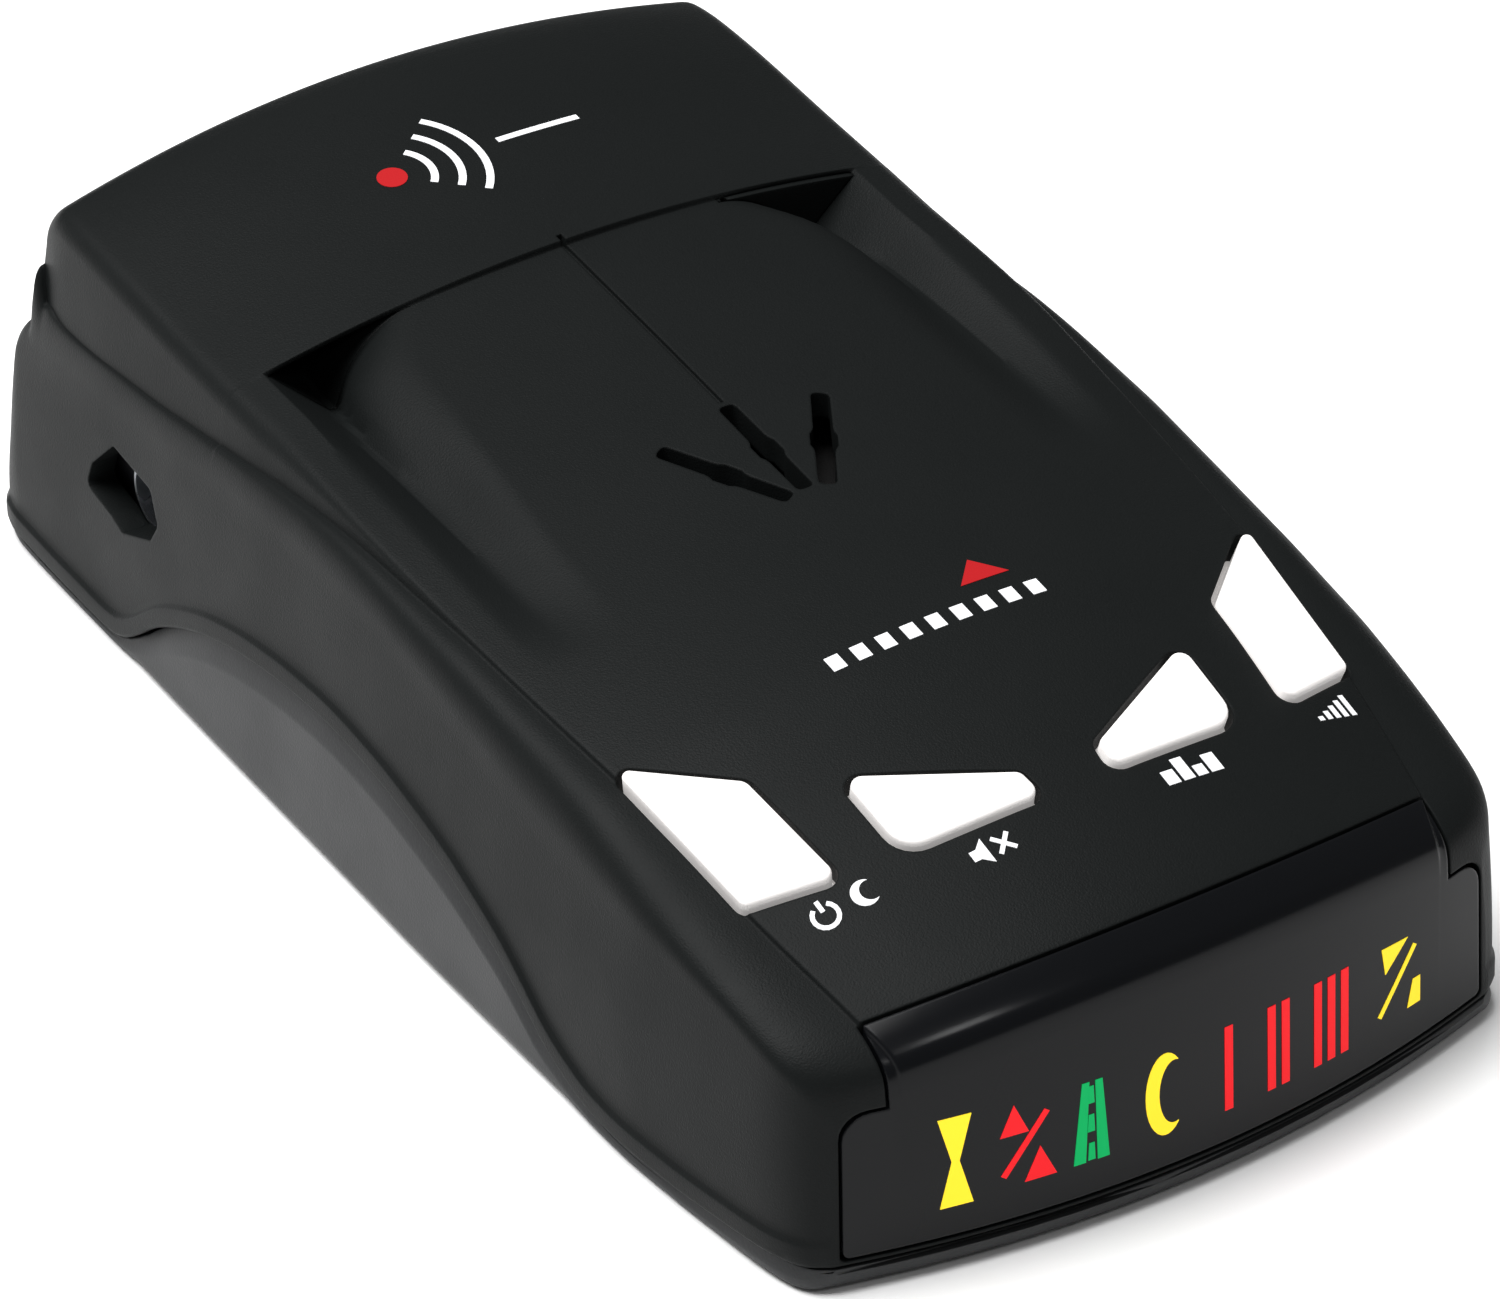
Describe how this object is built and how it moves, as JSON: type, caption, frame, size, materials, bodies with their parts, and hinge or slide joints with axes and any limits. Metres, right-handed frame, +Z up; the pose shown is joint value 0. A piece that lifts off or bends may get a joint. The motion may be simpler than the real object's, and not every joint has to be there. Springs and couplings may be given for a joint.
{
  "type": "radar detector",
  "caption": "Low dash-top radar detector: painted wedge case with hooded windscreen end, smoked wrap-round display, sprung keys, speaker slots and a side power socket.",
  "frame": {"origin": "middle of the flat underside, under the centre of the case", "axes": "+X to the right seen from the display, +Y from the display end to the windscreen end, +Z up"},
  "size_m": [0.0682, 0.1279, 0.0377],
  "materials": {
    "case_paint": "fine-textured soft black paint",
    "case_shell": "spark-eroded moulded ABS, a shade lighter than the cover",
    "smoked_lens": "smoked gloss acrylic",
    "key_cap": "satin off-white ABS",
    "moulded_black": "moulded nylon",
    "circuit_board": "solder-masked glass epoxy",
    "rf_laminate": "bare microwave laminate",
    "screw_steel": "bright zinc plate",
    "cast_zinc": "die-cast",
    "capacitor_sleeve": "shrink sleeve",
    "baffle_white": "white reflector",
    "foam_gasket": "closed-cell foam",
    "cone_paper": "pressed paper",
    "label_foil": "blank rating plate",
    "lamp_yellow": "tinted epoxy",
    "lamp_red": "tinted epoxy",
    "lamp_green": "tinted epoxy"
  },
  "bodies": {
    "case": {"board_header": "moulded_black", "board_screw_1": "screw_steel", "board_screw_2": "screw_steel", "case_screw_1": "screw_steel", "case_screw_2": "screw_steel", "case_screw_3": "screw_steel", "case_screw_4": "screw_steel", "city_switch": "moulded_black", "display_board": "circuit_board", "display_lens": "smoked_lens", "filter_capacitor": "capacitor_sleeve", "front_laser_window": "smoked_lens", "horn_antenna": "cast_zinc", "icon_mask": "moulded_black", "jack_centre_pin": "screw_steel", "keypad_board": "circuit_board", "keypad_screw_1": "screw_steel", "keypad_screw_2": "screw_steel", "label_plate": "label_foil", "lamp_1": "lamp_yellow", "lamp_2": "lamp_red", "lamp_3": "lamp_green", "lamp_4": "lamp_yellow", "lamp_5": "lamp_red", "lamp_6": "lamp_red", "lamp_7": "lamp_red", "lamp_8": "lamp_yellow", "laser_photodiode": "moulded_black", "light_baffle": "baffle_white", "lower_housing": "case_shell", "main_board": "circuit_board", "oscillator": "screw_steel", "power_jack": "moulded_black", "power_regulator": "moulded_black", "power_switch": "moulded_black", "processor_chip": "moulded_black", "quiet_switch": "moulded_black", "rear_laser_sensor": "moulded_black", "release_spring": "screw_steel", "rf_board": "rf_laminate", "rf_shield": "screw_steel", "speaker_frame": "screw_steel", "speaker_gasket": "foam_gasket", "speaker_magnet": "cast_zinc", "upper_housing": "case_paint", "volume_switch": "moulded_black"},
    "power_key": {"power_key": "key_cap"},
    "quiet_key": {"quiet_key": "key_cap"},
    "city_key": {"city_key": "key_cap"},
    "volume_key": {"volume_key": "key_cap"},
    "release_key": {"release_key": "case_paint"},
    "speaker_cone": {"speaker_cone": "cone_paper"}
  },
  "joints": [
    {"name": "power_press", "type": "slide", "parent": "case", "child": "power_key", "axis": [0.1902, 0.2109, -0.9588], "range_m": [0, 0.0006], "stiffness_N_per_m": 600},
    {"name": "quiet_press", "type": "slide", "parent": "case", "child": "quiet_key", "axis": [0.0837, 0.2449, -0.9659], "range_m": [0, 0.0006], "stiffness_N_per_m": 600},
    {"name": "city_press", "type": "slide", "parent": "case", "child": "city_key", "axis": [-0.0837, 0.2449, -0.9659], "range_m": [0, 0.0006], "stiffness_N_per_m": 600},
    {"name": "volume_press", "type": "slide", "parent": "case", "child": "volume_key", "axis": [-0.1902, 0.2109, -0.9588], "range_m": [0, 0.0006], "stiffness_N_per_m": 600},
    {"name": "release_press", "type": "slide", "parent": "case", "child": "release_key", "axis": [0, -1, 0], "range_m": [0, 0.002], "stiffness_N_per_m": 500, "deforming": ["release_spring"]},
    {"name": "cone_stroke", "type": "slide", "parent": "case", "child": "speaker_cone", "axis": [0, -0.0946, 0.9955], "range_m": [-0.0003, 0.0003], "stiffness_N_per_m": 500}
  ]
}
